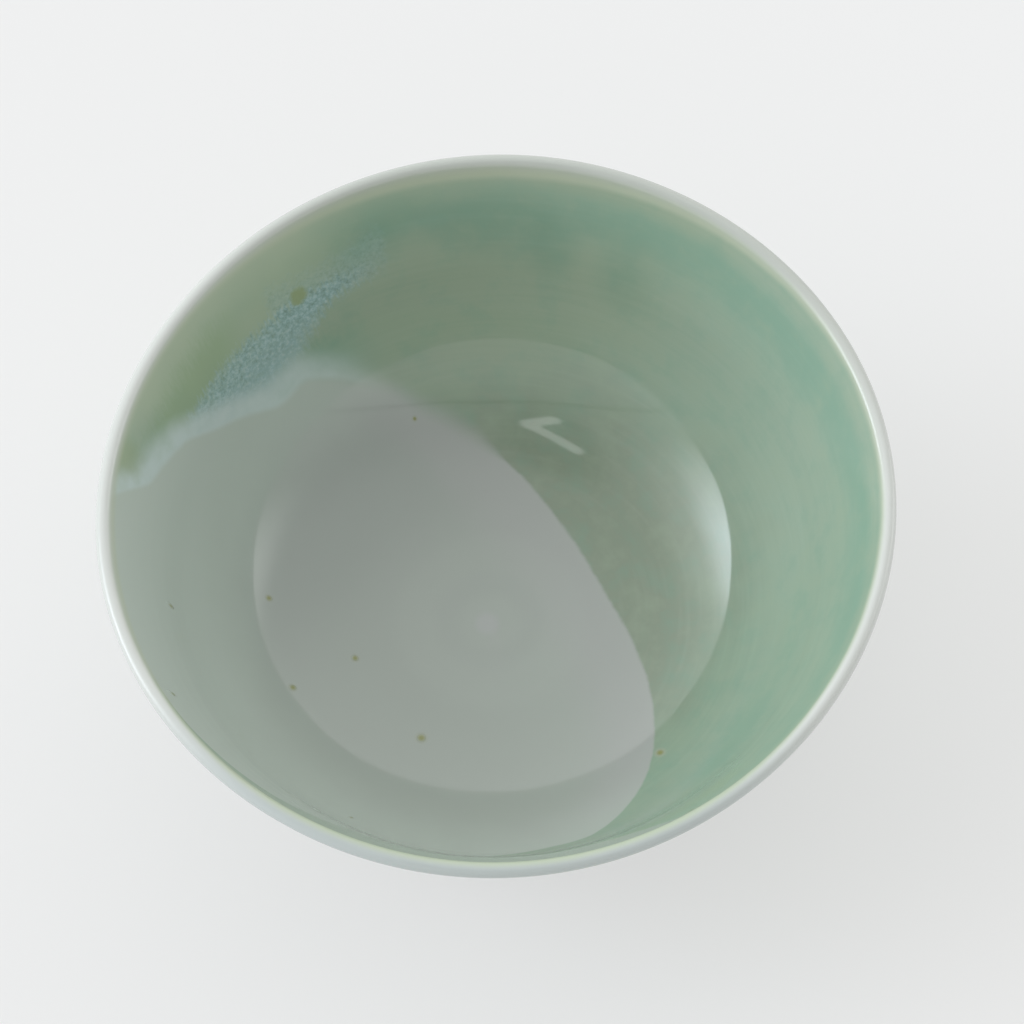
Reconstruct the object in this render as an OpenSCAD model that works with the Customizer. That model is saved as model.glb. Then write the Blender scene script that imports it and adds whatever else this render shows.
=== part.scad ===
// Celadon rice bowl: one thrown porcelain body with a turned foot ring, a pale
// glaze all over, a second green glaze put on by a tilted dip, a milky run and
// a few iron specks. Millimetres, +Z up, origin at the centre of the foot's
// contact plane. Every coat is a shell that lies face to face on the coat below.

/* [Bowl] */
// Diameter over the finished rim
rim_d = 120; // [114:1:126]
// Thickness of the rounded lip, over the pale glaze
lip_t = 2.3; // [2:0.1:2.8]
// Slope of the wall where it meets the lip, degrees from level
lip_slope = 64.5; // [63:0.5:65.5]
// Inner diameter at the steepest ring of the wall
belly_d = 98; // [96:1:100]
// Slope of the inner wall at that ring, degrees
belly_slope = 67.5; // [66.5:0.5:69]
// Wall thickness at that ring
belly_t = 2.8; // [2.4:0.1:3.4]
// Diameter of the almost flat well
well_d = 37; // [33:1:41]
// Slope at the edge of the well, degrees
well_slope = 3.5; // [2:0.5:5]
// Inner diameter at which the floor starts to turn up
turn_d = 66; // [64:1:69]
// Slope of the inside there, degrees
turn_slope = 26; // [25:0.5:28]
// Inner diameter at which that tighter turn ends in the wall
rise_d = 81; // [79:1:83]
// Slope of the inside there, degrees
rise_slope = 44.5; // [43.5:0.5:46]
// Thickness of the floor at the centre, glaze included
floor_t = 4.2; // [3.8:0.1:5]

/* [Foot ring] */
// Diameter at which the bowl's underside turns down into the foot ring
foot_d = 47; // [44:1:50]
// Height of that turn above the table
foot_h = 6.8; // [6.4:0.1:7.6]
// Radius of the hollow turn
foot_fillet = 1.2; // [0.8:0.1:1.6]
// Depth of the recess inside the ring
recess_h = 5.4; // [5:0.1:6]
// Distance from that turn in to the wall of the recess
foot_w = 5.3; // [5:0.1:6]
// How far each side of the ring leans in towards its edge
foot_taper = 0.7; // [0.3:0.1:1]
// Radius of the worn edges of the ring
foot_edge = 0.6; // [0.4:0.1:0.8]
// Rise of the underside at the centre of the recess
recess_dome = 0.4; // [0.2:0.1:0.6]

/* [Glazes] */
// Thickness of the pale glaze
pale_t = 0.35; // [0.25:0.05:0.5]
// Thickness of the green glaze over it
green_t = 0.22; // [0.15:0.01:0.3]
// Thickness of the milky run over the green
run_t = 0.16; // [0.1:0.01:0.25]
// Bare clay left above the foot's contact edge
bare_h = 1.5; // [1.2:0.1:2.2]

/* [Dip line] */
// Height of the dip plane on the bowl's axis
dip_h = 19.4; // [17:0.1:22]
// Tilt of the dip plane from level, degrees
dip_tilt = 29; // [26:0.5:31]
// Direction in which the dip plane falls, degrees from +X
dip_dir = 29.5; // [0:0.5:60]

/* [Milky run] */
// Direction of the middle of the run, degrees from +X
run_dir = 136; // [128:1:144]
// Distance of its straight lower side from the axis
run_in = 47.6; // [47:0.1:49]
// Radius of its upper side
run_out = 53.4; // [52:0.1:55]

/* [Iron specks] */
// Height of a speck above the glaze
speck_t = 0.06; // [0.04:0.01:0.1]
// Scale of every speck's diameter
speck_scale = 1; // [0.7:0.1:1.3]

/* [Hidden] */
$fn = 144;

// specks on the pale glaze: [distance from axis, direction, diameter]
SPECKS = [[50, 190, 1.0], [35.3, 178, 1.0], [23, 197.5, 1.1], [34.2, 203.5, 1.1],
          [23.5, 240.5, 1.5], [49, 237, 0.9], [45, 241, 0.9], [56, 211.5, 1.1]];
WELL_STEPS = 2;
BEND_STEPS = 5;
KEEL_STEPS = 14;
LIP_STEPS = 10;
EDGE_STEPS = 4;
big = 2 * rim_d;

// a glaze-surface sample is [radius, height, slope angle of travel]
function pos(s) = [s[0], s[1]];
// the side on the left of the travel is the outside of the glaze
function normal(s) = [-sin(s[2]), cos(s[2])];
function lift(s, t) = pos(s) + t * normal(s);
function lifted(path, t) = [for (s = path) lift(s, t)];
function reversed(v) = [for (i = [len(v) - 1 : -1 : 0]) v[i]];
function last(v) = v[len(v) - 1];
function tail(v) = [for (i = [1 : len(v) - 1]) v[i]];

// circular arc that leaves sample s and turns to slope b at radius r
function arc_rad(s, r, b) = (r - s[0]) / (sin(b) - sin(s[2]));
function arc_slope(s, r, b, n) = [for (i = [0 : n]) let (a = s[2] + (b - s[2]) * i / n)
    [s[0] + arc_rad(s, r, b) * (sin(a) - sin(s[2])),
     s[1] + arc_rad(s, r, b) * (cos(s[2]) - cos(a)), a]];
// circular arc that leaves sample s and ends at point q
function chord(s, q) = atan2(q[1] - s[1], q[0] - s[0]);
function arc_to(s, q, n) = arc_slope(s, q[0], 2 * chord(s, q) - s[2], n);
// circular arc about c of radius r, travelling clockwise from slope a to slope b
function round_over(c, r, a, b, n) = [for (i = [0 : n]) let (k = a + (b - a) * i / n)
    [c[0] - r * sin(k), c[1] + r * cos(k), k]];

// inside of the pale glaze, from the axis up to the lip
lip_r = lip_t / 2;
rim_r = rim_d / 2 - green_t;
floor_z = recess_h + floor_t;
centre = [0, floor_z, 0];
well = arc_slope(centre, well_d / 2, well_slope, WELL_STEPS);
floor_bend = arc_slope(last(well), turn_d / 2, turn_slope, BEND_STEPS);
turn = arc_slope(last(floor_bend), rise_d / 2, rise_slope, BEND_STEPS);
wall = arc_slope(last(turn), belly_d / 2, belly_slope, BEND_STEPS);
flare = arc_slope(last(wall), rim_r - lip_r * (1 + sin(lip_slope)), lip_slope, WELL_STEPS);
inside = concat(well, tail(floor_bend), tail(turn), tail(wall), tail(flare));

// rounded lip, then the outside down to the foot
lip_c = lift(last(flare), -lip_r);
lip = round_over(lip_c, lip_r, lip_slope, lip_slope - 180, LIP_STEPS);
belly_out = lift(last(wall), -belly_t);
joint = [foot_d / 2, foot_h];
skirt = arc_to(last(lip), belly_out, WELL_STEPS);
keel = arc_to(last(skirt), joint, KEEL_STEPS);
outside = concat(tail(lip), tail(skirt), tail(keel));

// outer face of the foot, down to the bare edge
foot_dir = -90 - atan(foot_taper / foot_h);
foot_turn = round_over(lift(last(keel), foot_fillet), -foot_fillet, last(keel)[2], foot_dir,
                       EDGE_STEPS);
foot_top = last(foot_turn);
foot_low = [foot_top[0] - (foot_top[1] - bare_h) * foot_taper / foot_h, bare_h, foot_dir];

green_path = concat(inside, outside);
pale_path = concat(green_path, tail(foot_turn), [foot_low]);

// bare clay of the foot: outer edge, contact ring, inner edge, recess
clay_r = lift(last(pale_path), -pale_t)[0];
contact_out = clay_r - foot_taper * bare_h / foot_h;
recess_r = foot_d / 2 - foot_w;
contact_in = recess_r + foot_taper;
edge_out = round_over([contact_out - foot_edge, foot_edge], foot_edge, -90, -180, EDGE_STEPS);
edge_in = round_over([contact_in + foot_edge, foot_edge], foot_edge, -180, -270, EDGE_STEPS);
recess_dir = 90 + atan(foot_taper / recess_h);
recess_low = [contact_in - foot_taper * bare_h / recess_h, bare_h, recess_dir];
recess_fillet = round_over([recess_r - foot_edge, recess_h - foot_edge], -foot_edge, 90, 180,
                           EDGE_STEPS);
recess_mid = [last(recess_fillet)[0] / 2, recess_h + recess_dome / 2];
recess_rise = arc_to(last(recess_fillet), recess_mid, WELL_STEPS);
recess_top = arc_to(last(recess_rise), [0, recess_h + recess_dome], WELL_STEPS);
recess_path = concat([recess_low], recess_fillet, tail(recess_rise), tail(recess_top));

// shell between two lifts of one path
module coat(path, t0, t1) {
    rotate_extrude()
        polygon(concat(lifted(path, t0), reversed(lifted(path, t1))));
}

// everything above the dip plane
module above_dip() {
    translate([0, 0, dip_h])
        rotate([0, 0, dip_dir])
            rotate([0, dip_tilt, 0])
                translate([-big, -big, 0])
                    cube(2 * big);
}

module porcelain_body() {
    color([0.90, 0.89, 0.86])
        rotate_extrude()
            polygon(concat(lifted(pale_path, -pale_t),
                           [for (s = concat(edge_out, edge_in)) pos(s)],
                           [for (s = recess_path) pos(s)]));
}

module base_glaze() {
    color([0.70, 0.74, 0.71])
        coat(pale_path, -pale_t, 0);
}

module foot_well_glaze() {
    color([0.70, 0.75, 0.71])
        coat(recess_path, 0, pale_t);
}

module celadon_overglaze() {
    color([0.50, 0.64, 0.54])
        intersection() {
            coat(green_path, 0, green_t);
            above_dip();
        }
}

module opalescent_run() {
    color([0.62, 0.74, 0.76])
        intersection() {
            coat(inside, green_t, green_t + run_t);
            above_dip();
            cylinder(r = run_out, h = big);
            rotate([0, 0, run_dir])
                translate([run_in, -big / 2, 0])
                    cube(big);
        }
}

module iron_specks() {
    color([0.42, 0.42, 0.28])
        intersection() {
            coat(inside, 0, speck_t);
            union() {
                for (s = SPECKS)
                    rotate([0, 0, s[1]])
                        translate([s[0], 0, 0])
                            cylinder(d = s[2] * speck_scale, h = big);
            }
        }
}

porcelain_body();
base_glaze();
foot_well_glaze();
celadon_overglaze();
opalescent_run();
iron_specks();
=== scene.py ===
"""Celadon rice bowl: finished meshes, glazes, lights and camera, in the CAD frame (metres)."""
import math

import bmesh
import bpy
import numpy as np
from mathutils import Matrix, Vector


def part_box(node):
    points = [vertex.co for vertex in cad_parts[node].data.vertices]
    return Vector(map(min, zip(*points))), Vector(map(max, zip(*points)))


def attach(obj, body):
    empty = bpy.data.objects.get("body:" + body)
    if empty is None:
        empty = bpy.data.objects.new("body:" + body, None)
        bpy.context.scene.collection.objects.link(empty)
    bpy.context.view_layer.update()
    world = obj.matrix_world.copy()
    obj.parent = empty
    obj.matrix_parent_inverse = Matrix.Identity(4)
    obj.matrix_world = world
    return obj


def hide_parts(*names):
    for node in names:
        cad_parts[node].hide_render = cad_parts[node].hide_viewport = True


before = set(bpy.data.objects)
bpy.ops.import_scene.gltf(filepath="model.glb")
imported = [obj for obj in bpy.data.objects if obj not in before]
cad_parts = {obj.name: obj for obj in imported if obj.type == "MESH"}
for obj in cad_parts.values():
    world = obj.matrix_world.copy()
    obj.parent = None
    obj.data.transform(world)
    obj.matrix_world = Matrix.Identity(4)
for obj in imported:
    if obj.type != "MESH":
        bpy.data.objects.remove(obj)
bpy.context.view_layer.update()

MM = 0.001

# ---------------------------------------------------------------- sizes, in mm, as in the CAD model
RIM_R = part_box("celadon_overglaze")[1][0] / MM
LIP_T, LIP_SLOPE = 2.3, 64.5
BELLY_R, BELLY_SLOPE, BELLY_T = 49.0, 67.5, 2.8
WELL_R, WELL_SLOPE, FLOOR_T = 18.5, 3.5, 4.2
TURN_R, TURN_SLOPE, RISE_R, RISE_SLOPE = 33.0, 26.0, 40.5, 44.5
FOOT_R, FOOT_H, FOOT_FILLET, FOOT_W = 23.5, 6.8, 1.2, 5.3
FOOT_TAPER, FOOT_EDGE, RECESS_H, RECESS_DOME = 0.7, 0.6, 5.4, 0.4
PALE_T, GREEN_T, SPECK_T, BARE_H = 0.35, 0.22, 0.06, 1.5
DIP_H, DIP_TILT, DIP_DIR = 19.4, 29.0, 29.5
RUN_DIR, RUN_IN, RUN_OUT = 136.0, 47.6, 53.4
# iron specks: distance from the axis, direction, diameter
SPECKS = [(50, 190, 1.0), (35.3, 178, 1.0), (23, 197.5, 1.1), (34.2, 203.5, 1.1),
          (23.5, 240.5, 1.5), (49, 237, 0.9), (45, 241, 0.9), (56, 211.5, 1.1)]
# spots in the glaze that are too thin to stand up, as in SPECKS
THIN_SPOTS = [(35.3, 315.3, 1.4), (34.9, 111.7, 0.7)]
# where the real dip line leaves the plane: direction, half width, rise in mm
DIP_SAGS = [(124, 16, 1.3), (145, 15, -2.6), (166, 14, -0.9), (190, 20, 6.2), (262, 28, -4.5)]

# ---------------------------------------------------------------- marks of the hand, in mm
# the oval of the mouth: its share of the radius and its long direction
OVAL, OVAL_DIR = 0.0095, 38.0
# how far the rim rises and falls, three times and twice round
SWAY_3, SWAY_2 = 0.65, 0.35
# the floor turns up unevenly: by how much, around which radius, and how far to each side
UNEVEN, UNEVEN_R, UNEVEN_REACH = 0.16, 36, 16
# height and pitch of the rings on the wall, of finer ones, and of the turning marks outside
RING_H, RING_PITCH, FINE_H, FINE_PITCH = 0.004, 4.3, 0.001, 2.35
TURNING_H, TURNING_PITCH, TURNING_REACH = 0.012, 3.1, 12
# the well: its spiral, the step that the rib left and the button in the centre
SPIRAL_H, SPIRAL_PITCH, RIB_STEP, BUTTON_H = 0.022, 5.2, 0.035, 0.05

# a coat's edge melts into the coat under it: how far it stands up, how deep its edge lies,
# and how wide the green glaze's edge is
GREEN_SHOWN, RUN_SHOWN, SUNK, GREEN_EDGE = 0.06, 0.05, 0.02, 12
# share of a speck's height that shows, its edge over the glaze, and its unevenness
SPECK_SHOWN, SPECK_EDGE, SPECK_UNEVEN = 0.4, 0.004, 0.09

TURNS = 480  # steps round the bowl
SPECK_STEPS, SPECK_LEVELS = 28, 6  # steps round a speck, and from its middle to its edge


# ---------------------------------------------------------------- meridian of the pale glaze
def arc_slope(start, radius, slope, steps=60):
    """Tangent arc from start = (r, z, slope) to that radius and slope."""
    r0, z0, a0 = start
    a = np.radians(np.linspace(a0, slope, steps))
    bend = (radius - r0) / (math.sin(math.radians(slope)) - math.sin(math.radians(a0)))
    return np.c_[r0 + bend * (np.sin(a) - np.sin(a[0])), z0 + bend * (np.cos(a[0]) - np.cos(a)),
                 np.degrees(a)]


def arc_to(start, r, z, steps=60):
    """Tangent arc from start to the point (r, z)."""
    chord = math.degrees(math.atan2(z - start[1], r - start[0]))
    if chord > 0 > start[2]:
        chord -= 360
    return arc_slope(start, r, 2 * chord - start[2], steps)


def round_over(r, z, radius, a0, a1, steps=30):
    """Arc about (r, z), travelled from slope a0 to slope a1."""
    a = np.radians(np.linspace(a0, a1, steps))
    return np.c_[r - radius * np.sin(a), z + radius * np.cos(a), np.degrees(a)]


def lift(sample, t):
    """The point t outside the surface at a sample of a meridian."""
    a = math.radians(sample[2])
    return sample[0] - t * math.sin(a), sample[1] + t * math.cos(a)


class Meridian:
    """Radius, height and slope of a profile against its length."""

    def __init__(self, *arcs):
        rows = np.vstack(arcs)
        step = np.hypot(*np.diff(rows[:, :2], axis=0).T)
        keep = np.r_[True, step > 1e-6]
        self.rows = rows[keep]
        self.s = np.r_[0, np.cumsum(step[keep[1:]])]
        self.length = self.s[-1]

    def at(self, s):
        return [np.interp(s, self.s, self.rows[:, k]) for k in range(3)]

    def s_at_radius(self, r):
        """Length at which the inside of the bowl reaches radius r."""
        rising = slice(0, int(np.argmax(self.rows[:, 0])))
        return np.interp(r, self.rows[rising, 0], self.s[rising])


lip_r = LIP_T / 2
rim_r = RIM_R - GREEN_T
well = arc_slope((0, RECESS_H + FLOOR_T, 0), WELL_R, WELL_SLOPE)
floor_bend = arc_slope(well[-1], TURN_R, TURN_SLOPE)
turn = arc_slope(floor_bend[-1], RISE_R, RISE_SLOPE)
wall = arc_slope(turn[-1], BELLY_R, BELLY_SLOPE)
flare = arc_slope(wall[-1], rim_r - lip_r * (1 + math.sin(math.radians(LIP_SLOPE))), LIP_SLOPE)
lip = round_over(*lift(flare[-1], -lip_r), lip_r, LIP_SLOPE, LIP_SLOPE - 180)
skirt = arc_to(lip[-1], *lift(wall[-1], -BELLY_T))
keel = arc_to(skirt[-1], FOOT_R, FOOT_H)
foot_dir = -90 - math.degrees(math.atan(FOOT_TAPER / FOOT_H))
foot_turn = round_over(*lift(keel[-1], FOOT_FILLET), -FOOT_FILLET, keel[-1][2], foot_dir)
foot_low = foot_turn[-1][0] - (foot_turn[-1][1] - BARE_H) * FOOT_TAPER / FOOT_H
foot_face = np.array([(foot_low, BARE_H, foot_dir)])
inside = np.vstack([well, floor_bend, turn, wall, flare])
GLAZE = Meridian(inside, lip, skirt, keel, foot_turn, foot_face)
JOINT_S = Meridian(inside, lip, skirt, keel).length
CREST_S = GLAZE.s[int(np.argmax(GLAZE.rows[:, 1]))]
CREST_Z = float(GLAZE.rows[:, 1].max())

contact_out = lift(foot_face[0], -PALE_T)[0] - FOOT_TAPER * BARE_H / FOOT_H
contact_in = FOOT_R - FOOT_W + FOOT_TAPER
recess_r = FOOT_R - FOOT_W
edge_out = round_over(contact_out - FOOT_EDGE, FOOT_EDGE, FOOT_EDGE, -90, -180)
edge_in = round_over(contact_in + FOOT_EDGE, FOOT_EDGE, FOOT_EDGE, -180, -270)
recess_dir = 90 + math.degrees(math.atan(FOOT_TAPER / RECESS_H))
recess_low = np.array([(contact_in - FOOT_TAPER * BARE_H / RECESS_H, BARE_H, recess_dir)])
recess_turn = round_over(recess_r - FOOT_EDGE, RECESS_H - FOOT_EDGE, -FOOT_EDGE, 90, 180)
rise = arc_to(recess_turn[-1], recess_turn[-1][0] / 2, RECESS_H + RECESS_DOME / 2)
dome = arc_to(rise[-1], 0, RECESS_H + RECESS_DOME)
RECESS = Meridian(recess_low, recess_turn, rise, dome)
EDGE = Meridian(edge_out, edge_in)


# ---------------------------------------------------------------- the thrown surface
def fade(x, lo, hi):
    """Smooth step from 0 at lo to 1 at hi."""
    t = np.clip((x - lo) / (hi - lo), 0, 1)
    return t * t * (3 - 2 * t)


def uneven_turn(r, phi):
    """The floor turns up into the wall more tightly on one side than on the other, in mm."""
    off = r - UNEVEN_R
    return (UNEVEN * np.sin(np.pi * off / UNEVEN_REACH) * fade(np.abs(off), UNEVEN_REACH, 6)
            * np.cos(phi - math.radians(20)))


def throwing_marks(s, r, phi):
    """Height of the potter's marks over the smooth profile, in mm."""
    inside = s < CREST_S
    wall_rings = (RING_H * np.sin(2 * np.pi * s / RING_PITCH + 0.7 * np.sin(phi + 1))
                  + FINE_H * np.sin(2 * np.pi * s / FINE_PITCH + 1.1 * np.sin(phi - 0.5)))
    wall_rings = wall_rings * (0.25 + 0.75 * fade(r, 40, 46))
    spiral = SPIRAL_H * np.cos(2 * np.pi * r / SPIRAL_PITCH - phi)
    spiral = spiral * fade(r, 15, 7) * fade(r, 0, 1.5)
    rib_step = RIB_STEP * fade(r, 17.5, 13.5)
    button = BUTTON_H * fade(r, 3.4, 0.4)
    turning = TURNING_H * np.sin(2 * np.pi * s / TURNING_PITCH + 0.5 * np.sin(phi))
    near_foot = fade(s, JOINT_S, JOINT_S - TURNING_REACH)
    away_from_lip = fade(np.abs(s - CREST_S), 3.0, 18.0)
    rings = np.where(inside, wall_rings * fade(r, 15, 24), turning * near_foot)
    centre = np.where(inside, spiral - rib_step + button + uneven_turn(r, phi), 0)
    return rings * away_from_lip + centre


def to_space(r, z, phi):
    """Point of the bowl from its round section, with the hand-made oval and the rim's waviness."""
    grow = 1 + OVAL * (r / rim_r) ** 2 * np.cos(2 * (phi - math.radians(OVAL_DIR)))
    sway = SWAY_3 * np.cos(3 * phi + 1.0) + SWAY_2 * np.cos(2 * phi - 1.6)
    return np.stack([r * grow * np.cos(phi), r * grow * np.sin(phi),
                     z + sway * (z / CREST_Z) ** 4], axis=-1)


def on_glaze(s, phi, height=0.0):
    """Point that far over the pale glaze."""
    r, z, a = GLAZE.at(s)
    a = np.radians(a)
    h = height + throwing_marks(s, r, phi)
    return to_space(np.maximum(r - h * np.sin(a), 0), z + h * np.cos(a), phi)


def on_foot(meridian, s, phi, height=0.0):
    """Point that far over a profile of the foot."""
    r, z, a = meridian.at(s)
    a = np.radians(a)
    return to_space(np.maximum(r - height * np.sin(a), 0), z + height * np.cos(a), phi)


def spread(a, b, n):
    """n lengths from a to b as a column, and the angles round the bowl as a row."""
    angles = np.linspace(0, 2 * np.pi, TURNS, endpoint=False)
    return np.linspace(a, b, n)[:, None] + 0 * angles, angles[None, :] + np.zeros((n, 1))


# ---------------------------------------------------------------- meshes
def new_piece(name, points, faces, node, material):
    """A closed smooth mesh that stands for a CAD node."""
    mesh = bpy.data.meshes.new(name)
    mesh.from_pydata((points * MM).tolist(), [], faces)
    work = bmesh.new()
    work.from_mesh(mesh)
    bmesh.ops.recalc_face_normals(work, faces=work.faces)
    work.to_mesh(mesh)
    work.free()
    mesh.polygons.foreach_set("use_smooth", [True] * len(mesh.polygons))
    piece = bpy.data.objects.new(name, mesh)
    bpy.context.collection.objects.link(piece)
    mesh.materials.append(material)
    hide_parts(node)
    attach(piece, "root")
    return piece


def quads(rows, cols, first=0, ring=True, loop=False):
    """Faces of a grid of points; ring closes it round the columns, loop round the rows."""
    faces = []
    for i in range(rows if loop else rows - 1):
        for j in range(cols if ring else cols - 1):
            k, m = (i + 1) % rows, (j + 1) % cols
            faces.append((first + i * cols + j, first + i * cols + m, first + k * cols + m,
                          first + k * cols + j))
    return faces


def turned_skin(name, rings, node, material):
    """Closed mesh from rings of points whose first and last are poles on the axis."""
    rings = np.concatenate(rings)
    body = rings[1:-1]
    rows, cols = body.shape[:2]
    points = np.vstack([body.reshape(-1, 3), rings[0, :1], rings[-1, :1]])
    start, end, last = rows * cols, rows * cols + 1, (rows - 1) * cols
    faces = quads(rows, cols)
    faces += [(start, (j + 1) % cols, j) for j in range(cols)]
    faces += [(end, last + j, last + (j + 1) % cols) for j in range(cols)]
    return new_piece(name, points, faces, node, material)


def band_skin(name, rings, node, material):
    """Closed mesh from rings of points that come back to the first ring."""
    rows, cols = rings.shape[:2]
    return new_piece(name, rings.reshape(-1, 3), quads(rows, cols, loop=True), node, material)


def build_body(material):
    """Clay under the glaze, the bare contact ring and the recess."""
    upper = on_glaze(*spread(0, GLAZE.length, 260), height=-PALE_T)
    edge = on_foot(EDGE, *spread(0, EDGE.length, 24))
    under = on_foot(RECESS, *spread(0, RECESS.length, 60))
    return turned_skin("bowl_body", [upper, edge, under], "porcelain_body", material)


def build_pale_coat(material):
    """The pale glaze, with a rolled edge where it stops above the foot's contact ring."""
    length = GLAZE.length
    outer = on_glaze(*spread(0, length - 0.3, 420))
    s, phi = spread(length - 0.3, length, 8)
    rolled = on_glaze(s, phi, -PALE_T * fade(s, length - 0.45, length + 0.1))
    inner = on_glaze(*spread(length, 0, 160), height=-PALE_T)
    return turned_skin("pale_glaze_coat", [outer, rolled[1:], inner], "base_glaze", material)


def build_foot_coat(material):
    """The pale glaze inside the foot ring."""
    s, phi = spread(RECESS.length, 0, 90)
    outer = on_foot(RECESS, s, phi, PALE_T * fade(s, -0.1, 0.5))
    inner = on_foot(RECESS, *spread(0, RECESS.length, 60))
    return turned_skin("foot_well_coat", [outer, inner], "foot_well_glaze", material)


def dip_lead(p):
    """How far a point is above the dip line, in mm of height."""
    a = math.radians(DIP_DIR)
    r = np.maximum(np.hypot(p[..., 0], p[..., 1]), 1e-6)
    fall = (p[..., 0] * math.cos(a) + p[..., 1] * math.sin(a)) * math.tan(math.radians(DIP_TILT))
    sag = 0
    for at, half, drop in DIP_SAGS:
        b = math.radians(at)
        facing = (p[..., 0] * math.cos(b) + p[..., 1] * math.sin(b)) / r
        sag = sag + drop * fade(facing, math.cos(math.radians(half)), 1)
    return p[..., 2] - DIP_H + fall - sag


def smooth_ring(values, width=2):
    """Average over a few neighbours round the ring."""
    return np.mean([np.roll(values, k) for k in range(-width, width + 1)], axis=0)


def green_limits():
    """Lengths at which the green glaze starts inside and ends outside, for each step round."""
    s, phi = spread(0, JOINT_S, 900)
    above = dip_lead(on_glaze(s, phi)) > 0
    rows = np.arange(len(s))[:, None]
    inside = s < CREST_S
    start = np.where(inside & ~above, rows, 0).max(axis=0) * s[1, 0]
    end = np.where(~inside & ~above, rows, len(s) - 1).min(axis=0) * s[1, 0]
    return (smooth_ring(np.minimum(start, CREST_S - 0.5)),
            smooth_ring(np.maximum(end, CREST_S + 0.5)))


def green_height(s, phi, limits):
    """Top of the green glaze over the pale one: it sinks away at the dip line."""
    turns = np.linspace(0, 2 * np.pi, TURNS, endpoint=False)
    start, end = (np.interp(phi % (2 * np.pi), turns, v, period=2 * np.pi) for v in limits)
    return GREEN_SHOWN * fade(np.minimum(s - start, end - s), 0, GREEN_EDGE) - SUNK


def build_green_coat(material, limits):
    """The green glaze, from the dip line inside, over the lip, to the dip line outside."""
    t = np.linspace(0, 1, 360)[:, None]
    start, end = limits
    s = start + (end - start) * t
    phi = np.linspace(0, 2 * np.pi, TURNS, endpoint=False)[None, :] + 0 * s
    outer = on_glaze(s, phi, green_height(s, phi, limits))
    inner = on_glaze(s[::-1], phi, -2 * SUNK)
    return band_skin("celadon_coat", np.concatenate([outer, inner]), "celadon_overglaze",
                     material)


def build_run(material, limits):
    """The milky run: a low lens of glaze on the green wall."""
    half = math.degrees(math.acos(RUN_IN / RUN_OUT)) - 0.4
    turn = np.radians(np.linspace(-half, half, 160))[None, :]
    inner_r = RUN_IN / np.cos(turn)
    t = np.linspace(0, 1, 48)[:, None]
    r = inner_r + (RUN_OUT - inner_r) * t
    phi = turn + math.radians(RUN_DIR) + 0 * r
    s = GLAZE.s_at_radius(r)
    swell = np.sin(np.pi * t) * fade(np.cos(turn), math.cos(math.radians(half)), 1)
    ground = green_height(s, phi, limits)
    top = on_glaze(s, phi, ground + RUN_SHOWN * swell - SUNK)
    base = on_glaze(s, phi, ground - 2 * SUNK)
    rows, cols = top.shape[:2]
    points = np.vstack([top.reshape(-1, 3), base.reshape(-1, 3)])
    count = rows * cols
    faces = quads(rows, cols, ring=False)
    faces += [tuple(reversed(f)) for f in quads(rows, cols, first=count, ring=False)]
    border = (list(range(cols)) + [i * cols + cols - 1 for i in range(1, rows)]
              + [(rows - 1) * cols + j for j in range(cols - 2, -1, -1)]
              + [i * cols for i in range(rows - 2, 0, -1)])
    faces += [(a, b, b + count, a + count)
              for a, b in zip(border, border[1:] + border[:1])]
    return new_piece("milky_run", points, faces, "opalescent_run", material)


def speck_ring(radius, at, reach, height):
    """Ring of points round a speck's middle, about that far from it in plan."""
    ring = []
    for k in range(SPECK_STEPS):
        turn = 2 * math.pi * k / SPECK_STEPS
        away = reach * (1 + SPECK_UNEVEN * math.sin(2 * turn + at))
        x, y = radius + away * math.cos(turn), away * math.sin(turn)
        s = GLAZE.s_at_radius(math.hypot(x, y))
        phi = math.radians(at) + math.atan2(y, x)
        ring.append(on_glaze(np.array(s), np.array(phi), height))
    return ring


def build_specks(material):
    """Iron spots: low domes melted into the glaze."""
    points, faces = [], []
    for radius, at, size in SPECKS:
        first = len(points)
        for level in range(1, SPECK_LEVELS + 1):
            share = level / SPECK_LEVELS
            rise = SPECK_T * SPECK_SHOWN * math.sqrt(1 - share ** 2) + SPECK_EDGE
            points += speck_ring(radius, at, size / 2 * share, rise)
        points += speck_ring(radius, at, size / 2, -SUNK)
        faces += quads(SPECK_LEVELS + 1, SPECK_STEPS, first)
        faces.append(tuple(range(first, first + SPECK_STEPS))[::-1])
        base = first + SPECK_LEVELS * SPECK_STEPS
        faces.append(tuple(range(base, base + SPECK_STEPS)))
    return new_piece("iron_spots", np.array(points), faces, "iron_specks", material)


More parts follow.
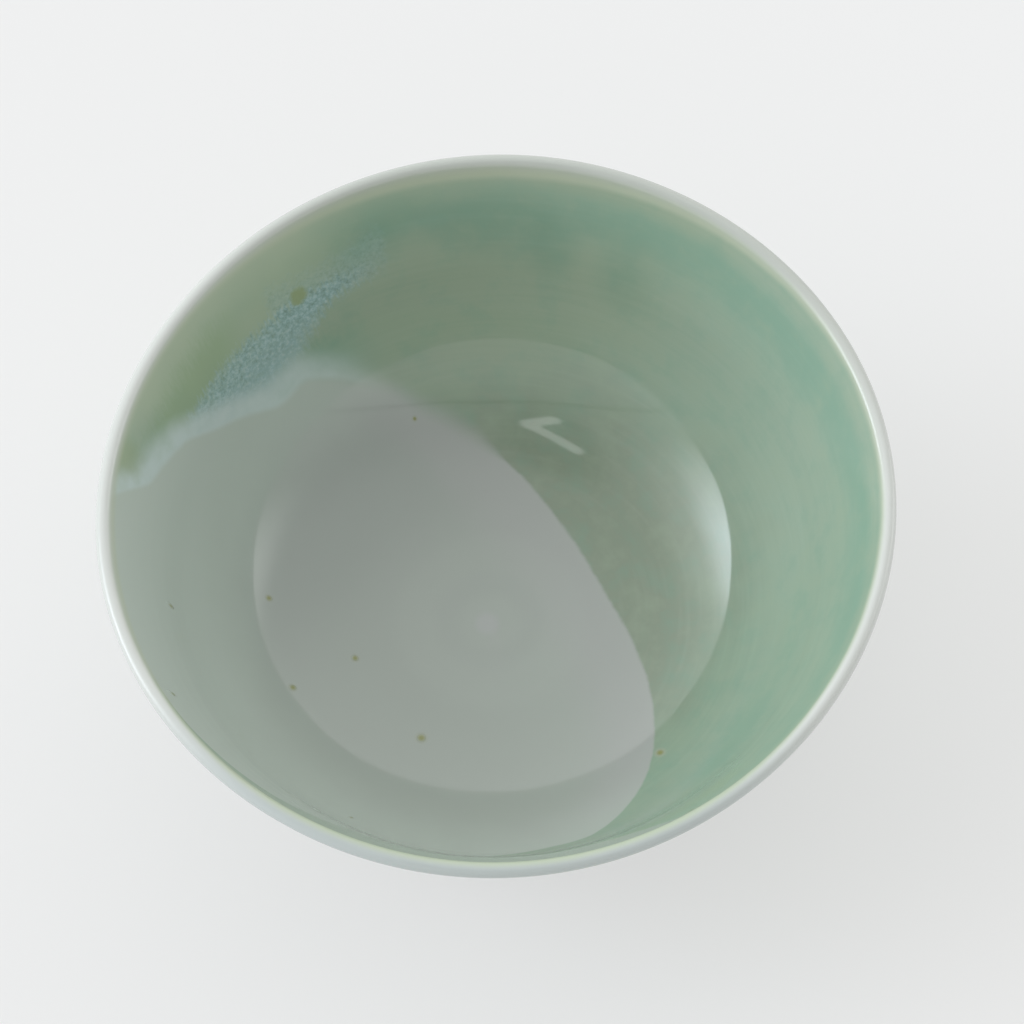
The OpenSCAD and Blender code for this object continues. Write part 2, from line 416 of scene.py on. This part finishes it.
# ---------------------------------------------------------------- shader arithmetic
class Field:
    """A value socket of a node tree that can be used in formulas."""

    def __init__(self, tree, socket):
        self.tree, self.socket = tree, socket

    def math(self, operation, *others):
        node = self.tree.nodes.new("ShaderNodeMath")
        node.operation = operation
        for k, value in enumerate((self, *others)):
            if isinstance(value, Field):
                self.tree.links.new(value.socket, node.inputs[k])
            else:
                node.inputs[k].default_value = value
        return Field(self.tree, node.outputs[0])

    def __add__(self, other):
        return self.math("ADD", other)

    def __sub__(self, other):
        return self.math("SUBTRACT", other)

    def __mul__(self, other):
        return self.math("MULTIPLY", other)

    def __truediv__(self, other):
        return self.math("DIVIDE", other)

    def __rsub__(self, other):
        return (self - other) * -1.0

    __radd__, __rmul__ = __add__, __mul__

    def step(self, lo, hi):
        """Smooth step from 0 at lo to 1 at hi."""
        node = self.tree.nodes.new("ShaderNodeMapRange")
        node.interpolation_type = "SMOOTHSTEP"
        self.tree.links.new(self.socket, node.inputs["Value"])
        for name, value in (("From Min", lo), ("From Max", hi)):
            if isinstance(value, Field):
                self.tree.links.new(value.socket, node.inputs[name])
            else:
                node.inputs[name].default_value = value
        return Field(self.tree, node.outputs["Result"])

    def band(self, a, b, c, d):
        """0 below a, 1 from b to c, 0 above d."""
        return self.step(a, b) * (1 - self.step(c, d))

    def clamp(self):
        return self.math("MINIMUM", 1.0).math("MAXIMUM", 0.0)


def line_distance(x, y, a, b):
    """Distance of the place (x, y) from the line between two points."""
    bx, by = b[0] - a[0], b[1] - a[1]
    px, py = x - a[0], y - a[1]
    share = ((px * bx + py * by) / (bx * bx + by * by)).clamp()
    dx, dy = px - share * bx, py - share * by
    return (dx * dx + dy * dy).math("SQRT")


class Ground:
    """Places on the bowl, in mm, for a material's formulas."""

    def __init__(self, tree):
        self.tree = tree
        coords = tree.nodes.new("ShaderNodeTexCoord")
        scale = tree.nodes.new("ShaderNodeVectorMath")
        scale.operation = "SCALE"
        scale.inputs["Scale"].default_value = 1 / MM
        tree.links.new(coords.outputs["Object"], scale.inputs[0])
        split = tree.nodes.new("ShaderNodeSeparateXYZ")
        tree.links.new(scale.outputs[0], split.inputs[0])
        self.vector = scale.outputs[0]
        self.x, self.y, self.z = (Field(tree, split.outputs[k]) for k in range(3))
        self.r = (self.x * self.x + self.y * self.y).math("SQRT").math("MAXIMUM", 0.001)
        facing = tree.nodes.new("ShaderNodeSeparateXYZ")
        tree.links.new(coords.outputs["Normal"], facing.inputs[0])
        outward = (self.x * Field(tree, facing.outputs[0])
                   + self.y * Field(tree, facing.outputs[1])) / self.r
        self.inside = 1 - outward.step(0.0, 0.15)  # 1 in the bowl, 0 on its outer wall

    def along(self, degrees):
        """Distance from the axis, measured in that direction."""
        a = math.radians(degrees)
        return self.x * math.cos(a) + self.y * math.sin(a)

    def facing(self, degrees):
        """Cosine of the angle from that direction."""
        return self.along(degrees) / self.r

    def sector(self, middle, inner, outer):
        """1 within inner degrees of a direction, 0 beyond outer."""
        return self.facing(middle).step(math.cos(math.radians(outer)),
                                        math.cos(math.radians(inner)))

    def away(self, x, y, stretch=1.0, turn=0.0):
        """Distance from a point in plan, along an axis at that turn measured shorter."""
        a = math.radians(turn)
        dx, dy = self.x - x, self.y - y
        long, short = dx * math.cos(a) + dy * math.sin(a), dy * math.cos(a) - dx * math.sin(a)
        long = long / stretch
        return (long * long + short * short).math("SQRT")

    def near_line(self, a, b):
        """Distance in plan from the line between two points."""
        return line_distance(self.x, self.y, a, b)

    def combine(self, *parts):
        node = self.tree.nodes.new("ShaderNodeCombineXYZ")
        for k, part in enumerate(parts):
            self.tree.links.new(part.socket, node.inputs[k])
        return node.outputs[0]

    def noise(self, size, detail=2.0, rough=0.5, vector=None):
        """Noise of that grain size in mm, about -1 to 1."""
        node = self.tree.nodes.new("ShaderNodeTexNoise")
        node.inputs["Scale"].default_value = 1 / size
        node.inputs["Detail"].default_value = detail
        node.inputs["Roughness"].default_value = rough
        self.tree.links.new(vector or self.vector, node.inputs["Vector"])
        return (Field(self.tree, node.outputs[0]) - 0.5) * 2.0

    def rings(self, size, stretch, detail=2.0):
        """Noise drawn out round the bowl by the throwing, of that size up the wall."""
        up = self.r + self.z * 1.3
        turn = self.combine(up / size, self.x / self.r * (1 / stretch),
                            self.y / self.r * (1 / stretch))
        return self.noise(1.0, detail, 0.5, turn)


def blend(tree, share, a, b):
    """Colour a, turning to b as share goes from 0 to 1."""
    node = tree.nodes.new("ShaderNodeMix")
    node.data_type = "RGBA"
    tree.links.new(share.socket, node.inputs[0])
    for socket, value in ((node.inputs[6], a), (node.inputs[7], b)):
        if isinstance(value, tuple):
            socket.default_value = (*value, 1.0)
        else:
            tree.links.new(value, socket)
    return node.outputs[2]


# ---------------------------------------------------------------- colours (linear)
# PALE_DULL colours both the dull hollow round the centre and the painted shade at the upper left of
# the well
PALE, PALE_DULL, PALE_LIGHT = (0.390, 0.424, 0.393), (0.362, 0.388, 0.370), (0.445, 0.482, 0.447)
PALE_LILAC, PALE_WALL = (0.408, 0.422, 0.410), (0.472, 0.527, 0.480)
PALE_BUTTON = (0.450, 0.455, 0.465)
CELADON, CELADON_DEEP = (0.308, 0.402, 0.314), (0.278, 0.386, 0.292)
CELADON_GREY, CELADON_WARM = (0.258, 0.310, 0.238), (0.325, 0.402, 0.300)
CELADON_LIGHT, CELADON_DARK = (0.38, 0.47, 0.39), (0.20, 0.33, 0.245)
TEAL = (0.212, 0.360, 0.276)
OLIVE, OLIVE_DEEP = (0.375, 0.455, 0.335), (0.275, 0.375, 0.225)
OLIVE_SPOT = (0.290, 0.355, 0.190)
STRAW, LIP = (0.485, 0.525, 0.410), (0.580, 0.600, 0.575)
# the lip's colour in painted shade, for its far side and for its near side
LIP_FAR_SHADED, LIP_NEAR_SHADED = (0.460, 0.485, 0.450), (0.470, 0.515, 0.505)
MILK, MILK_DEEP, MILK_BAND = (0.335, 0.475, 0.480), (0.215, 0.320, 0.280), (0.520, 0.605, 0.590)
IRON, IRON_HALO = (0.275, 0.290, 0.125), (0.370, 0.395, 0.310)
CLAY, CLAY_DIRTY = (0.72, 0.69, 0.62), (0.62, 0.57, 0.49)

# on the steep wall, beyond this distance from the axis, the iron has sunk in: size and strength
WALL_SPECK_R, WALL_SPECK_SIZE, WALL_SPECK_SHARE = 42.0, 0.65, 0.7
# relief of the ripple on the glaze and of the clay's grain, in mm, and spread of the gloss
RIPPLE, GRAIN, GLAZE_SPREAD, CLAY_SPREAD = 0.0006, 0.03, 0.015, 0.08


def dip_field(g):
    """Height over the dip line, as dip_lead gives it."""
    fall = g.along(DIP_DIR) * math.tan(math.radians(DIP_TILT))
    lead = g.z - DIP_H + fall
    for at, half, drop in DIP_SAGS:
        lead = lead - g.facing(at).step(math.cos(math.radians(half)), 1.0) * drop
    return lead


def pale_colour(g, lead):
    """The pale glaze: lilac where it is thick, greener up the wall, lighter in the centre."""
    soft, fine = g.noise(9.0, 2.0), g.noise(1.3, 3.0)
    beside_dip = lead.band(-9.0, -3.0, 0.0, 2.0) * 0.8
    # painted shade: the well is duller towards its upper left, where less light falls
    shaded_upper_left = g.along(130).step(6.0, 26.0) * (1 - g.r.step(34.0, 42.0))
    colour = blend(g.tree, shaded_upper_left * 0.5, PALE, PALE_DULL)
    colour = blend(g.tree, beside_dip.clamp(), colour, PALE_LILAC)
    colour = blend(g.tree, (g.r + soft * 2.0).step(32, 48), colour, PALE_WALL)
    disc = 1 - (g.away(-1.0, 0.0) + fine * 0.3).step(13.0, 16.5)
    colour = blend(g.tree, disc * 0.15, colour, PALE_LIGHT)
    hollow = g.away(-1.0, 0.0).band(3.5, 6.0, 7.0, 10.0) * 0.25
    colour = blend(g.tree, hollow, colour, PALE_DULL)
    button = 1 - g.away(-1.5, -0.5).step(0.8, 2.6)
    return blend(g.tree, button * 0.6, colour, PALE_BUTTON)


def teal_under_lip(g, colour, soft, streaks):
    """The ring under the lip where the green has pooled, with darker patches at the top."""
    ring_in = 51.4 - g.sector(60, 30, 62) * 1.0 + soft * 0.8
    ring = g.r.step(ring_in, ring_in + 4.4) * (1 - g.r.step(55.4, 57.0)) * g.sector(46, 60, 105)
    colour = blend(g.tree, (ring * (0.70 + streaks * 0.2)).clamp(), colour, TEAL)
    patches = (4 - (g.away(19.7, 47.0, 1.5, -22) + soft).step(0.5, 4.4)
               - (g.away(8.5, 50.6, 1.7, -10) + soft).step(0.5, 3.4)
               - (g.away(-2.0, 53.6, 3.8, 0) + soft).step(1.0, 4.2)
               - (g.away(-21.0, 50.5, 2.4, 22) + soft).step(1.0, 4.5))
    return blend(g.tree, (patches * 0.5).clamp(), colour, CELADON_DARK)


def uneven_green(g, colour, streaks):
    """Streaks drawn round the wall by the throwing, and a soft mottle."""
    colour = blend(g.tree, (streaks * 0.22).clamp(), colour, CELADON_LIGHT)
    colour = blend(g.tree, (streaks * -0.22).clamp(), colour, CELADON_DARK)
    mottle = g.noise(5.0, 3.0, 0.6) * 0.7
    colour = blend(g.tree, mottle.clamp(), colour, CELADON_WARM)
    return blend(g.tree, (mottle * -1.0).clamp(), colour, TEAL)


def celadon_colour(g):
    """The green glaze: grey below, warmer at the top, deeper on the right, olive at the run."""
    soft, streaks = g.noise(9.0, 2.0), g.rings(1.6, 0.45, 3.0)
    clouds = g.noise(14.0, 2.0, 0.6)
    colour = blend(g.tree, (g.r + clouds * 9.0).step(26, 46), CELADON_GREY, CELADON)
    warm = (g.along(95) + clouds * 8.0).step(30, 46) * g.sector(92, 24, 62)
    colour = blend(g.tree, warm * 0.9, colour, CELADON_WARM)
    deep = g.sector(322, 20, 50) * (g.r + clouds * 4.0).step(26, 40)
    colour = blend(g.tree, (deep * (0.7 + streaks * 0.5)).clamp(), colour, CELADON_DEEP)
    colour = teal_under_lip(g, colour, soft, streaks)
    colour = uneven_green(g, colour, streaks)
    olive = (g.along(RUN_DIR) + soft * 1.5).step(48.0, 52.0) * g.sector(158, 24, 52)
    colour = blend(g.tree, (olive * (0.8 + clouds * 0.5)).clamp(), colour, OLIVE)
    return blend(g.tree, g.r.step(53.5, 57.0) * g.sector(140, 35, 80) * 0.4, colour, STRAW)


def milk_over(g, colour):
    """The curdled blue run: sharp and feathery above, fading into the green below."""
    fine, curds = g.noise(1.1, 3.0, 0.6), g.noise(0.8, 3.0, 0.7)
    out, along = g.along(RUN_DIR), g.along(RUN_DIR - 90)
    feather = g.noise(1.0, 3.0, 0.65, g.combine(along * 1.5, out * 0.6, g.z * 0.2))
    depth = 51.8 - g.r + feather * 1.5
    width = 7.6 - along.step(-3.0, 16.0) * 5.6
    cover = depth.step(-0.2, 1.2) * (1 - depth.step(width * 0.5, width))
    cover = cover * along.band(-30.0, -12.0, 11.0, 24.0) * out.step(20.0, 30.0)
    teal = depth.band(3.0, 5.5, 6.5, 11.0) * along.band(-8.0, 1.0, 8.0, 18.0)
    colour = blend(g.tree, teal * 0.5, colour, TEAL)
    shade = depth.band(-4.0, -1.2, -0.3, 0.8) * along.band(-34.0, -22.0, -8.0, 0.0)
    colour = blend(g.tree, shade * 0.55, colour, OLIVE_DEEP)
    haze = 1 - (g.near_line((-34, 39.5), (-18.6, 49)) + fine * 1.3).step(0.3, 2.4)
    pits = (curds * 1.9 + 0.3).clamp() * (1 - depth.step(1.0, 5.0) * 0.85)
    milk = blend(g.tree, pits, MILK, MILK_DEEP)
    milk = blend(g.tree, (curds * -2.0 - 0.1).clamp() * 0.6, milk, MILK_BAND)
    share = cover * (0.9 + fine * 0.5) + haze * (0.34 + curds * 0.25)
    return blend(g.tree, share.clamp(), colour, milk)


def iron_over(g, colour):
    """The iron spots and the stain that bleeds out of each, and the spots without relief."""
    for distance, at, size in SPECKS + THIN_SPOTS:
        a, on_wall = math.radians(at), distance > WALL_SPECK_R
        shown, strength = (WALL_SPECK_SIZE, WALL_SPECK_SHARE) if on_wall else (1.0, 1.0)
        away = g.away(distance * math.cos(a), distance * math.sin(a)) / (size / 2 * shown)
        colour = blend(g.tree, (1 - away.step(0.7, 1.8)) * 0.7 * strength, colour, IRON_HALO)
        colour = blend(g.tree, (1 - away.step(0.2, 1.05)) * strength, colour, IRON)
    large = 1 - (g.away(-30.6, 41.6, 2.3, 37) + g.noise(0.9, 3.0) * 0.25).step(0.4, 0.85)
    colour = blend(g.tree, large * 0.9, colour, OLIVE_SPOT)
    corner = 1 - (g.away(-55.5, 9.5, 1.6, 80) + g.noise(3.0, 2.0) * 0.6).step(0.6, 2.6)
    return blend(g.tree, corner * 0.35, colour, OLIVE_SPOT)


def lip_over(g, colour):
    """Thin glaze over the lip: the clay shows through, with a straw line under it, and painted
    shade on the far and near crest.
    """
    facing = g.facing(OVAL_DIR)
    radius = g.r * (1 - (facing * facing * 2.0 - 1.0) * OVAL) + g.noise(9.0, 2.0) * 0.15
    below = g.sector(125, 40, 110) * 0.7
    top = g.z.step(48.8, 50.4)
    colour = blend(g.tree, radius.step(57.0 - below, 57.7 - below) * top * 0.7, colour, STRAW)
    # painted shade: the crest is darker on the far side and on the near side, plain LIP at left and
    # right
    crest = blend(g.tree, g.sector(75, 25, 75), LIP, LIP_FAR_SHADED)
    crest = blend(g.tree, g.sector(268, 25, 60), crest, LIP_NEAR_SHADED)
    # painted shade: on the near side the light crest starts further out, darkening the near lip's
    # inner edge
    inner_edge = 57.3 - below * 0.5 + g.sector(268, 25, 60) * 0.7
    return blend(g.tree, radius.step(inner_edge, inner_edge + 1.1) * top, colour, crest)


def glaze_colour(g):
    """The colour of all the glazes together, so that no coat shows an edge of its own."""
    lead = dip_field(g) + g.noise(9.0, 2.0) * 0.25 + g.noise(1.3, 3.0) * 0.12
    lazy = g.sector(112, 8, 26)
    green = lead.step(lazy * -1.6 - 0.12, lazy * 2.2 + 0.42)
    celadon = celadon_colour(g)
    milky = blend(g.tree, g.inside, celadon, milk_over(g, celadon))
    colour = blend(g.tree, green, pale_colour(g, lead), milky)
    band = lead.band(-1.0, 0.3, 1.4, 5.4) * g.sector(154, 18, 40)
    colour = blend(g.tree, band * (0.92 + g.noise(3.0, 2.0) * 0.3), colour, MILK_BAND)
    spotted = blend(g.tree, g.inside, colour, iron_over(g, colour))
    return lip_over(g, spotted)


def new_material(name):
    material = bpy.data.materials.new(name)
    material.use_nodes = True
    tree = material.node_tree
    return material, tree, tree.nodes["Principled BSDF"]


def finish_surface(g, shader, bump_height, bump_mm, rough, rough_spread):
    """Bump and roughness of a surface from its nodes."""
    tree = g.tree
    bump = tree.nodes.new("ShaderNodeBump")
    bump.inputs["Distance"].default_value = bump_mm * MM
    tree.links.new(bump_height.socket, bump.inputs["Height"])
    tree.links.new(bump.outputs[0], shader.inputs["Normal"])
    gloss = g.noise(7.0, 3.0) * rough_spread + rough
    tree.links.new(gloss.socket, shader.inputs["Roughness"])


def glaze_material(name, rough):
    """Glassy coat over the shared glaze pattern."""
    material, tree, shader = new_material(name)
    g = Ground(tree)
    tree.links.new(glaze_colour(g), shader.inputs["Base Color"])
    shader.inputs["IOR"].default_value = 1.5
    ripple = g.rings(0.32, 1.2, 1.0) * 0.5 + g.noise(2.2, 1.0) * 0.5
    finish_surface(g, shader, ripple, RIPPLE, rough, GLAZE_SPREAD)
    return material


def clay_material():
    """Bare fired porcelain: matt, faintly warm, with a fine grain."""
    material, tree, shader = new_material("bare_porcelain")
    g = Ground(tree)
    grain = g.noise(0.35, 3.0, 0.6)
    dirt = (g.noise(5.0, 2.0) * 0.6 + 0.2).clamp()
    colour = blend(tree, dirt, CLAY, CLAY_DIRTY)
    tree.links.new(colour, shader.inputs["Base Color"])
    finish_surface(g, shader, grain, GRAIN, 0.72, CLAY_SPREAD)
    return material


# ---------------------------------------------------------------- studio
def direction_field(tree, direction):
    """Cosine of the angle between the sky's direction and a fixed one."""
    coords = tree.nodes.new("ShaderNodeTexCoord")
    dot = tree.nodes.new("ShaderNodeVectorMath")
    dot.operation = "DOT_PRODUCT"
    tree.links.new(coords.outputs["Generated"], dot.inputs[0])
    dot.inputs[1].default_value = direction
    return Field(tree, dot.outputs["Value"])


CAMERA_EL = math.radians(64.4)
TOWARD = (0, -math.cos(CAMERA_EL), math.sin(CAMERA_EL))
ABOVE = (0, math.sin(CAMERA_EL), math.cos(CAMERA_EL))

# strength of each part of the studio
SOFTBOX, FILL, LAMPS, STAND, EDGE_LINE, WIDE = 7.2, 1.9, 2.6, 0.8, 0.5, 0.3
NEUTRAL_LIGHT, COOL_LIGHT = (0.99, 1.0, 0.99), (0.92, 1.0, 1.12)


def room_light(above):
    """Light of the white room, stronger above and below than in the middle."""
    return (0.52 + above.step(0.0, 0.5) * 0.42 + above.step(0.6, 0.9) * 0.35
            + above.step(-0.2, -0.55) * 0.40)


def soft_box(side, above, toward):
    """Large soft lamp on the left, brightest at its outer side."""
    left = side * -1.0
    glow = left.step(0.45, 0.90) * 0.26 + left.step(0.72, 0.97) * 0.74
    glow = glow * ((above + 0.18) / 0.47).clamp() * (1 - above.step(0.45, 0.85))
    return glow * toward.step(0.0, 0.2) * SOFTBOX


def dark_stand(side, above, toward):
    """A soft dark oval near the middle of the sky, where a stand keeps the light off."""
    across, up = (side + 0.20) / 0.23, (above - 0.12) / 0.36
    stand = 1 - (across * across + up * up).math("SQRT").step(0.6, 1.15)
    return stand * toward.step(0.6, 0.8) * STAND


def tube_light(side, above, a, b, width):
    """A slim straight lamp in the sky, between two points seen from the bowl."""
    return 1 - line_distance(side, above, a, b).step(width * 0.6, width)


def lamp_bars(side, above, toward):
    """Two slim lamps that meet at a corner, which the glaze mirrors as a tick."""
    bars = (tube_light(side, above, (-0.130, 0.0), (-0.232, -0.055), 0.044)
            + tube_light(side, above, (-0.138, 0.020), (-0.292, 0.166), 0.034))
    return bars.clamp() * toward.step(0.5, 0.6) * LAMPS


def table_edge(side, above, toward):
    """The faint dark line of the table's far edge."""
    horizon = above + side * side * 0.2
    return horizon.band(-0.235, -0.215, -0.205, -0.185) * toward.step(0.2, 0.4) * EDGE_LINE


def build_world():
    """A white studio round the bowl: soft box on the left, fill on the right, two lamp bars."""
    world = bpy.data.worlds.new("studio")
    bpy.context.scene.world = world
    world.use_nodes = True
    tree = world.node_tree
    side = direction_field(tree, (1, 0, 0))
    above = direction_field(tree, ABOVE)
    toward = direction_field(tree, TOWARD)
    sky = side, above, toward
    softbox = soft_box(*sky)
    fill = side.step(0.74, 0.92) * above.band(0.05, 0.5, 0.6, 0.85) * FILL
    wide = (side * -1.0).step(0.25, 0.70) * toward.step(0.0, 0.2) * WIDE
    light = (room_light(above) * (1 - dark_stand(*sky)) - table_edge(*sky) + softbox + fill
             + lamp_bars(*sky) + wide)
    background = tree.nodes["Background"]
    tree.links.new(light.socket, background.inputs["Strength"])
    tint = blend(tree, (softbox / SOFTBOX).clamp(), NEUTRAL_LIGHT, COOL_LIGHT)
    tree.links.new(tint, background.inputs["Color"])


def build_floor():
    """Plain pale floor, matt, with a little light of its own."""
    reach, grey, glow = 3.0, 0.36, 0.47
    mesh = bpy.data.meshes.new("floor")
    mesh.from_pydata([(-reach, -reach, 0), (reach, -reach, 0), (reach, reach, 0),
                      (-reach, reach, 0)], [], [(0, 1, 2, 3)])
    floor = bpy.data.objects.new("floor", mesh)
    bpy.context.collection.objects.link(floor)
    material, _, shader = new_material("floor")
    shader.inputs["Base Color"].default_value = (grey, grey, grey, 1)
    shader.inputs["Roughness"].default_value = 0.9
    shader.inputs["Specular IOR Level"].default_value = 0.0
    shader.inputs["Emission Color"].default_value = (1, 1, 1, 1)
    shader.inputs["Emission Strength"].default_value = glow
    mesh.materials.append(material)


def build_camera():
    """Long lens, at the height over the mouth at which the bowl was seen."""
    distance, lens, sensor = 0.90, 211.5, 36.0
    aim_right, aim_up, aim_drop = 2.4, -1.03, 0.66  # in mm, from the crest of the lip
    camera = bpy.data.objects.new("camera", bpy.data.cameras.new("camera"))
    bpy.context.collection.objects.link(camera)
    camera.data.lens = lens
    camera.data.sensor_width = sensor
    rim_centre = Vector((0, 0, (CREST_Z - aim_drop) * MM))
    aim = rim_centre + (Vector((1, 0, 0)) * aim_right + Vector(ABOVE) * aim_up) * MM
    camera.location = aim + Vector(TOWARD) * distance
    camera.rotation_euler = Vector(TOWARD).to_track_quat("Z", "Y").to_euler()
    bpy.context.scene.camera = camera


# ---------------------------------------------------------------- the whole scene
pale_glaze = glaze_material("pale_glaze", 0.07)
build_body(clay_material())
build_pale_coat(pale_glaze)
build_foot_coat(glaze_material("pale_glaze_foot", 0.09))
green_edges = green_limits()
build_green_coat(glaze_material("celadon", 0.06), green_edges)
build_run(glaze_material("opalescent_blue", 0.10), green_edges)
build_specks(glaze_material("iron_oxide", 0.12))
build_floor()
build_world()
build_camera()
bpy.context.scene.view_settings.view_transform = "Standard"
